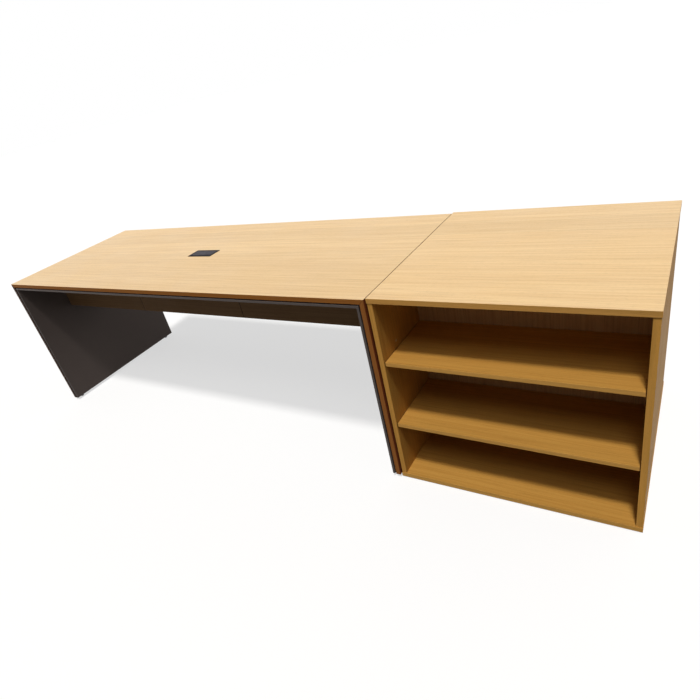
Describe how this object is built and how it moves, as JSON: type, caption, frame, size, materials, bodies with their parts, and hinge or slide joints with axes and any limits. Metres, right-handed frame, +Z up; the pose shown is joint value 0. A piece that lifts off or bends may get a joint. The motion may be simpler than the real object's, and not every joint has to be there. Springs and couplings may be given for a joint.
{
  "type": "standing meeting table",
  "caption": "Standing-height oak meeting table with panel ends, a set-back apron and a flip-lid power module, joined to an open bookcase of the same height.",
  "frame": {"origin": "on the floor under the middle of the whole plan, table and bookcase together", "axes": "+X along the table towards the bookcase, +Y to the rear, +Z up"},
  "size_m": [4.113, 1.112, 1.052],
  "materials": {
    "oak_level": "satin oak veneer, grain along the table",
    "oak_upright": "satin oak veneer, grain upright",
    "oak_apron": "satin oak veneer, grain along the table",
    "oak_back": "satin oak veneer, grain upright",
    "plain_board": "unfinished board",
    "black_board": "matt black board",
    "charcoal_laminate": "matt charcoal laminate",
    "beech": "plain beech",
    "black_steel": "fine-textured black powder coat",
    "zinc_steel": "zinc plated",
    "foot_steel": "dark zinc plated",
    "lid_aluminium": "satin blue-grey anodised",
    "bezel_plastic": "fine-textured black",
    "socket_plastic": "smooth off-white",
    "brush_nylon": "black bristles",
    "gland_nylon": "black nylon",
    "cap_plastic": "pale beige"
  },
  "bodies": {
    "table": {"table_top": "oak_level", "table_end_left": "oak_upright", "table_end_right": "oak_upright", "mitre_dowels": "beech", "top_packer": "black_board", "left_packer": "black_board", "right_packer": "black_board", "liner_top": "charcoal_laminate", "liner_left": "charcoal_laminate", "liner_right": "charcoal_laminate", "apron_front_left": "oak_apron", "apron_front_centre": "oak_apron", "apron_front_right": "oak_apron", "apron_rear_left": "oak_apron", "apron_rear_centre": "oak_apron", "apron_rear_right": "oak_apron", "spine_rib_left": "plain_board", "spine_rib_right": "plain_board", "steel_rail_front": "black_steel", "steel_rail_rear": "black_steel", "rail_screws": "zinc_steel", "apron_brackets": "zinc_steel", "pan_head_screws": "zinc_steel", "cable_tray": "black_steel", "module_bezel": "bezel_plastic", "hinge_pin": "zinc_steel", "cable_brush": "brush_nylon", "module_housing": "black_steel", "socket_plate": "bezel_plastic", "power_sockets": "socket_plastic", "data_ports": "socket_plastic", "module_clamps": "zinc_steel", "cable_gland": "gland_nylon", "cabinet_top": "oak_level", "cabinet_base": "oak_level", "cabinet_side_left": "oak_upright", "cabinet_side_right": "oak_upright", "cabinet_back_front": "oak_back", "cabinet_back_rear": "oak_back", "core_rib_left": "plain_board", "core_rib_right": "plain_board", "shelf_front_upper": "oak_level", "shelf_front_lower": "oak_level", "shelf_rear_upper": "oak_level", "shelf_rear_lower": "oak_level", "shelf_pins": "zinc_steel", "cabinet_dowels": "beech", "link_bolts": "zinc_steel", "link_spacers": "gland_nylon", "bolt_caps": "cap_plastic", "threaded_inserts": "zinc_steel"},
    "lid": {"module_lid": "lid_aluminium"},
    "table_foot_1": {"table_foot_front_left": "foot_steel"},
    "table_foot_2": {"table_foot_front_right": "foot_steel"},
    "table_foot_3": {"table_foot_rear_left": "foot_steel"},
    "table_foot_4": {"table_foot_rear_right": "foot_steel"},
    "cabinet_foot_1": {"cabinet_foot_front_left": "foot_steel"},
    "cabinet_foot_2": {"cabinet_foot_front_right": "foot_steel"},
    "cabinet_foot_3": {"cabinet_foot_rear_left": "foot_steel"},
    "cabinet_foot_4": {"cabinet_foot_rear_right": "foot_steel"}
  },
  "joints": [
    {"name": "lid_hinge", "type": "hinge", "parent": "table", "child": "lid", "pos_m": [-0.5565, 0.0264, 1.049], "axis": [-1, 0, 0], "range_deg": [0, 95]},
    {"name": "table_foot_front_left_screw", "type": "slide", "parent": "table", "child": "table_foot_1", "axis": [0, 0, -1], "range_m": [0, 0.015]},
    {"name": "table_foot_front_right_screw", "type": "slide", "parent": "table", "child": "table_foot_2", "axis": [0, 0, -1], "range_m": [0, 0.015]},
    {"name": "table_foot_rear_left_screw", "type": "slide", "parent": "table", "child": "table_foot_3", "axis": [0, 0, -1], "range_m": [0, 0.015]},
    {"name": "table_foot_rear_right_screw", "type": "slide", "parent": "table", "child": "table_foot_4", "axis": [0, 0, -1], "range_m": [0, 0.015]},
    {"name": "cabinet_foot_front_left_screw", "type": "slide", "parent": "table", "child": "cabinet_foot_1", "axis": [0, 0, -1], "range_m": [0, 0.01]},
    {"name": "cabinet_foot_front_right_screw", "type": "slide", "parent": "table", "child": "cabinet_foot_2", "axis": [0, 0, -1], "range_m": [0, 0.01]},
    {"name": "cabinet_foot_rear_left_screw", "type": "slide", "parent": "table", "child": "cabinet_foot_3", "axis": [0, 0, -1], "range_m": [0, 0.01]},
    {"name": "cabinet_foot_rear_right_screw", "type": "slide", "parent": "table", "child": "cabinet_foot_4", "axis": [0, 0, -1], "range_m": [0, 0.01]}
  ]
}
